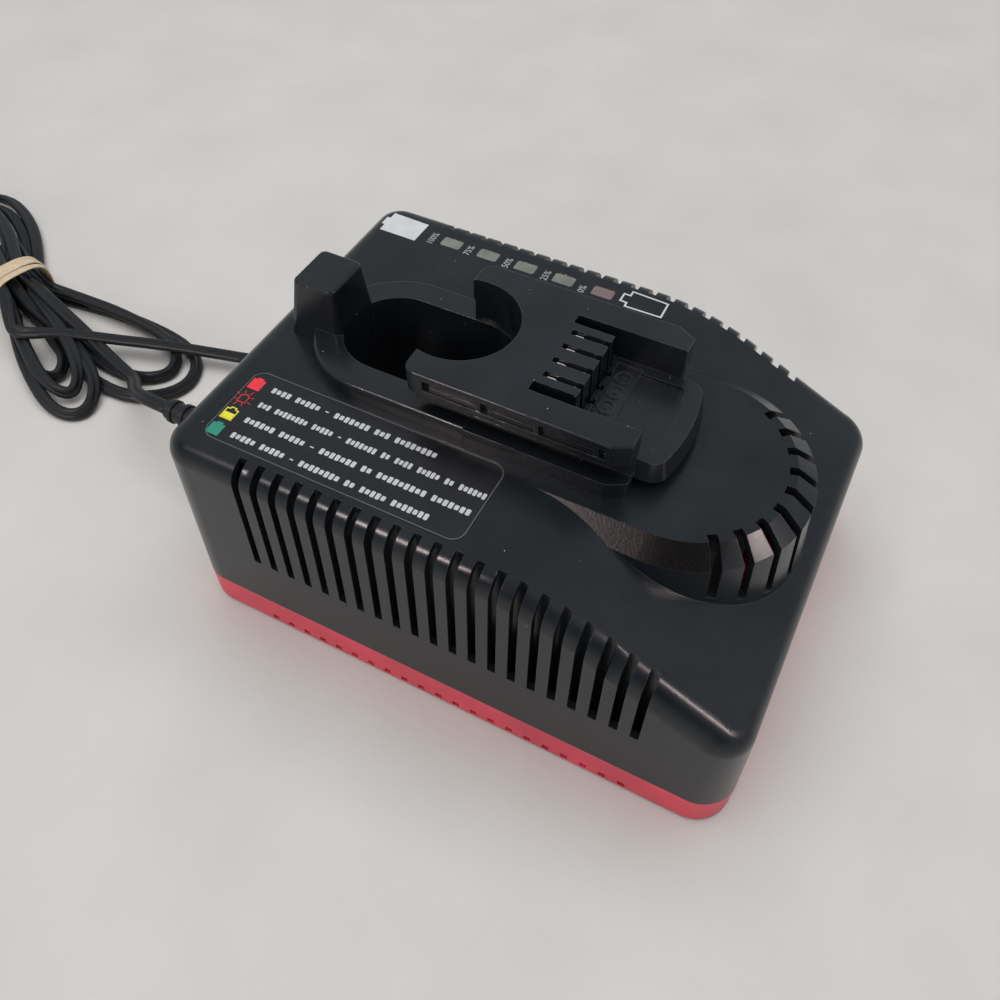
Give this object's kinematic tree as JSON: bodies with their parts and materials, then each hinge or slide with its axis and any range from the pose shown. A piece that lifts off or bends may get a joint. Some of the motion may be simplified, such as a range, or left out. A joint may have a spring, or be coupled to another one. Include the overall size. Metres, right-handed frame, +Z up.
{
  "type": "power tool battery charger",
  "caption": "Desktop charger for cordless tool batteries: slotted housing on a red tray, domed front, raised slide dock with stem socket, status lamps and a tied mains cord.",
  "frame": {"origin": "centre of the housing's footprint, on the surface it stands on", "axes": "+Z up, +Y towards the cord end, -Y towards the low rounded front, +X towards the lamp windows"},
  "size_m": [0.1697, 0.5436, 0.1193],
  "materials": {
    "housing_plastic": "satin",
    "dock_plastic": "satin",
    "tray_plastic": "satin",
    "foot_rubber": "matt",
    "screw_steel": "satin",
    "contact_metal": "polished",
    "label_film": "satin",
    "window_plastic": "satin",
    "lamp_resin": "gloss",
    "board_laminate": "satin",
    "component_plastic": "satin",
    "capacitor_sleeve": "satin",
    "header_plastic": "satin",
    "fuse_glass": "gloss",
    "sink_aluminium": "satin",
    "core_steel": "satin",
    "winding_tape": "satin",
    "strap_steel": "satin",
    "wire_red": "satin",
    "wire_black": "satin",
    "cord_sheath": "satin",
    "band_rubber": "satin",
    "blade_brass": "satin"
  },
  "bodies": {
    "charger": {"upper_housing": "housing_plastic", "lower_tray": "tray_plastic", "rubber_feet": "foot_rubber", "case_screws": "screw_steel", "stem_socket": "dock_plastic", "slide_dock": "dock_plastic", "deck_screws": "screw_steel", "contact_carrier": "component_plastic", "status_label": "label_film", "light_windows": "window_plastic", "lamp_board": "board_laminate", "lamps": "lamp_resin", "main_board": "board_laminate", "board_screws": "screw_steel", "lamp_screws": "screw_steel", "capacitors": "capacitor_sleeve", "heatsink": "sink_aluminium", "power_transistors": "component_plastic", "rectifier": "component_plastic", "fuse": "fuse_glass", "fuse_clips": "contact_metal", "wire_header": "header_plastic", "transformer_core": "core_steel", "transformer_winding": "winding_tape", "transformer_strap": "strap_steel", "strap_screws": "screw_steel", "contact_leads": "wire_red", "stem_leads": "wire_black", "lamp_leads": "wire_red", "mains_leads": "wire_black", "transformer_leads": "wire_black", "strain_relief": "cord_sheath", "cord_hank": "cord_sheath", "cord_lead": "cord_sheath", "cord_tail": "cord_sheath", "rubber_band": "band_rubber", "plug_body": "cord_sheath", "plug_blades": "blade_brass"},
    "dock_contact_1_leaf": {"dock_contact_1": "contact_metal"},
    "dock_contact_2_leaf": {"dock_contact_2": "contact_metal"},
    "dock_contact_3_leaf": {"dock_contact_3": "contact_metal"},
    "dock_contact_4_leaf": {"dock_contact_4": "contact_metal"},
    "stem_contact_1_leaf": {"stem_contact_1": "contact_metal"},
    "stem_contact_2_leaf": {"stem_contact_2": "contact_metal"},
    "stem_contact_3_leaf": {"stem_contact_3": "contact_metal"}
  },
  "joints": [
    {"name": "dock_contact_1_flex", "type": "hinge", "parent": "charger", "child": "dock_contact_1_leaf", "pos_m": [-0.01077, -0.0092, 0.1], "axis": [0, 0, 1], "range_deg": [0, 4], "stiffness_Nm_per_rad": 0.02},
    {"name": "dock_contact_2_flex", "type": "hinge", "parent": "charger", "child": "dock_contact_2_leaf", "pos_m": [-0.00323, -0.0092, 0.1], "axis": [0, 0, 1], "range_deg": [0, 4], "stiffness_Nm_per_rad": 0.02},
    {"name": "dock_contact_3_flex", "type": "hinge", "parent": "charger", "child": "dock_contact_3_leaf", "pos_m": [0.00432, -0.0092, 0.1], "axis": [0, 0, 1], "range_deg": [0, 4], "stiffness_Nm_per_rad": 0.02},
    {"name": "dock_contact_4_flex", "type": "hinge", "parent": "charger", "child": "dock_contact_4_leaf", "pos_m": [0.01188, -0.0092, 0.1], "axis": [0, 0, 1], "range_deg": [0, 4], "stiffness_Nm_per_rad": 0.02},
    {"name": "stem_contact_1_flex", "type": "hinge", "parent": "charger", "child": "stem_contact_1_leaf", "pos_m": [-0.0065, 0.07375, 0.03135], "axis": [-1, 0, 0], "range_deg": [0, 3], "stiffness_Nm_per_rad": 0.03},
    {"name": "stem_contact_2_flex", "type": "hinge", "parent": "charger", "child": "stem_contact_2_leaf", "pos_m": [0, 0.07375, 0.03135], "axis": [-1, 0, 0], "range_deg": [0, 3], "stiffness_Nm_per_rad": 0.03},
    {"name": "stem_contact_3_flex", "type": "hinge", "parent": "charger", "child": "stem_contact_3_leaf", "pos_m": [0.0065, 0.07375, 0.03135], "axis": [-1, 0, 0], "range_deg": [0, 3], "stiffness_Nm_per_rad": 0.03}
  ]
}
